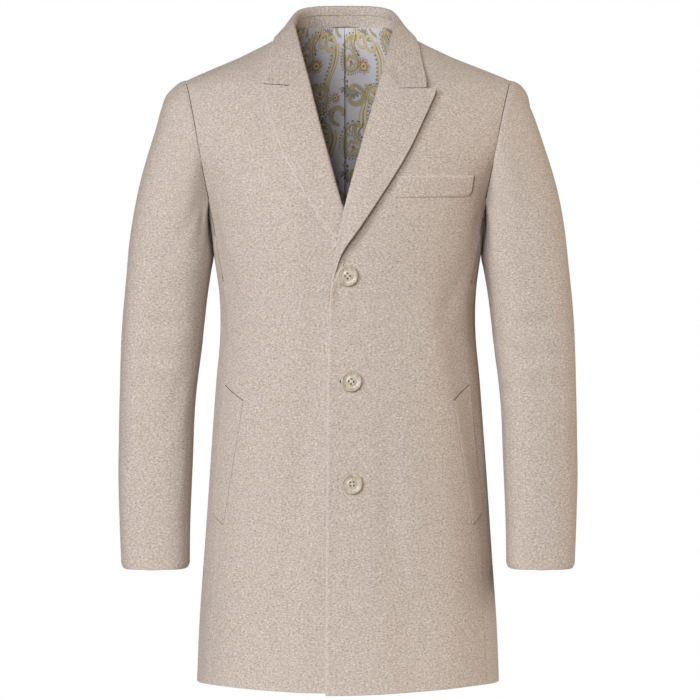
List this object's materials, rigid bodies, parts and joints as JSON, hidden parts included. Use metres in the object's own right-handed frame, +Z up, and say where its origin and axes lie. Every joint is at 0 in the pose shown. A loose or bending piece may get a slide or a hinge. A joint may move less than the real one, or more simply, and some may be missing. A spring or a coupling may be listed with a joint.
{
  "type": "winter coat",
  "caption": "Thigh-length single-breasted wool overcoat with peak lapels, welt pockets and set-in sleeves, as a hollow worn form open at neck, hem and cuffs.",
  "frame": {"origin": "between the shoulders at the base of the neck, where the wearer carries the coat", "axes": "+Z up along the body, -Y out of the front, +X to the wearer's left"},
  "size_m": [0.6294, 0.3008, 0.9406],
  "materials": {
    "wool": "beige melange wool coating with a soft, short nap",
    "lining": "smooth grey-lavender lining with a printed paisley",
    "horn": "polished cream horn, faintly mottled"
  },
  "bodies": {
    "root": {"front_left": "wool", "front_right": "wool", "side_left": "wool", "side_right": "wool", "back_left": "wool", "back_right": "wool", "sleeve_top_left": "wool", "sleeve_top_right": "wool", "sleeve_under_left": "wool", "sleeve_under_right": "wool", "lapel_left": "wool", "lapel_right": "wool", "hip_welt_left": "wool", "hip_welt_right": "wool", "collar_stand": "wool", "collar_leaf": "wool", "breast_welt": "wool", "button_1": "horn", "button_2": "horn", "button_3": "horn", "lining_left": "lining", "lining_right": "lining"}
  },
  "joints": []
}
